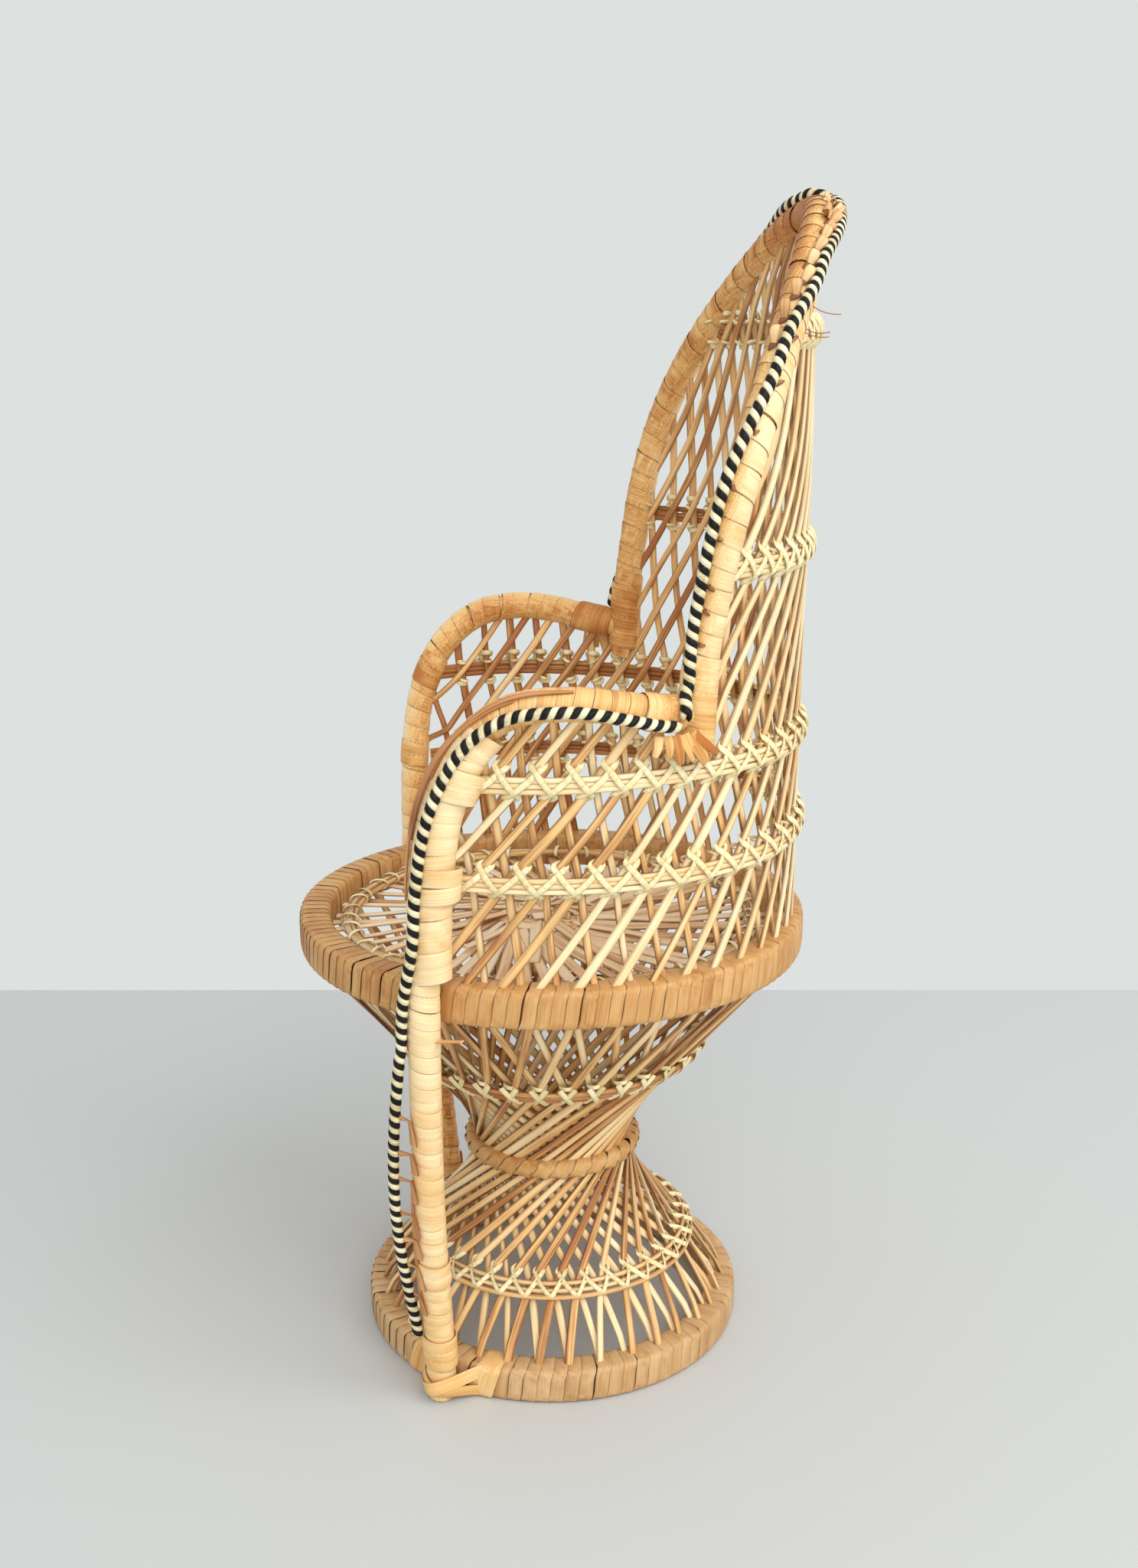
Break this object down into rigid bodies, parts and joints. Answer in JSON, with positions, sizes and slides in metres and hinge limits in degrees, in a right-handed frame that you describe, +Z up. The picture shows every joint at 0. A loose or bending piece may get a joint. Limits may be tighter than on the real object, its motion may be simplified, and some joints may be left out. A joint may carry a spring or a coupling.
{
  "type": "woven rattan peacock chair",
  "caption": "Doll-size woven rattan peacock chair: hourglass lattice pedestal, round seat, open lattice barrel with arms under a tall hoop back with striped edge piping.",
  "frame": {"origin": "on the floor under the middle of the chair's outline", "axes": "+Z up, -Y the way the sitter faces, +X towards the sitter's left arm"},
  "size_m": [0.2002, 0.1822, 0.3954],
  "materials": {
    "ring_peel": "satin",
    "pole_peel": "satin",
    "reed": "satin",
    "lashing": "satin",
    "piping": "satin"
  },
  "bodies": {
    "root": {"base_outer_hoop": "ring_peel", "base_inner_hoop": "ring_peel", "seat_outer_hoop": "ring_peel", "seat_inner_hoop": "ring_peel", "waist_outer_hoop": "ring_peel", "waist_inner_hoop": "ring_peel", "pedestal_lower_outer_stakes_left": "reed", "pedestal_lower_outer_stakes_front": "reed", "pedestal_lower_outer_stakes_right": "reed", "pedestal_upper_outer_stakes_left": "reed", "pedestal_upper_outer_stakes_front": "reed", "pedestal_upper_outer_stakes_right": "reed", "pedestal_lower_inner_stakes_left": "reed", "pedestal_lower_inner_stakes_front": "reed", "pedestal_lower_inner_stakes_right": "reed", "pedestal_upper_inner_stakes_left": "reed", "pedestal_upper_inner_stakes_front": "reed", "pedestal_upper_inner_stakes_right": "reed", "pedestal_lower_bar": "reed", "pedestal_lower_lashing": "lashing", "pedestal_upper_bar": "reed", "pedestal_upper_lashing": "lashing", "right_arm_pole": "pole_peel", "left_arm_pole": "pole_peel", "back_hoop_pole": "pole_peel", "barrel_outer_stakes": "reed", "barrel_inner_stakes": "reed", "back_outer_stakes": "reed", "back_inner_stakes": "reed", "barrel_lower_bar": "reed", "barrel_lower_lashing": "lashing", "barrel_upper_bar": "reed", "barrel_upper_lashing": "lashing", "back_middle_bar": "reed", "back_middle_lashing": "lashing", "back_top_bar": "reed", "back_top_lashing": "lashing", "right_arm_piping": "piping", "left_arm_piping": "piping", "back_hoop_piping": "piping", "seat_web": "reed", "seat_rim_bar": "reed"}
  },
  "joints": []
}
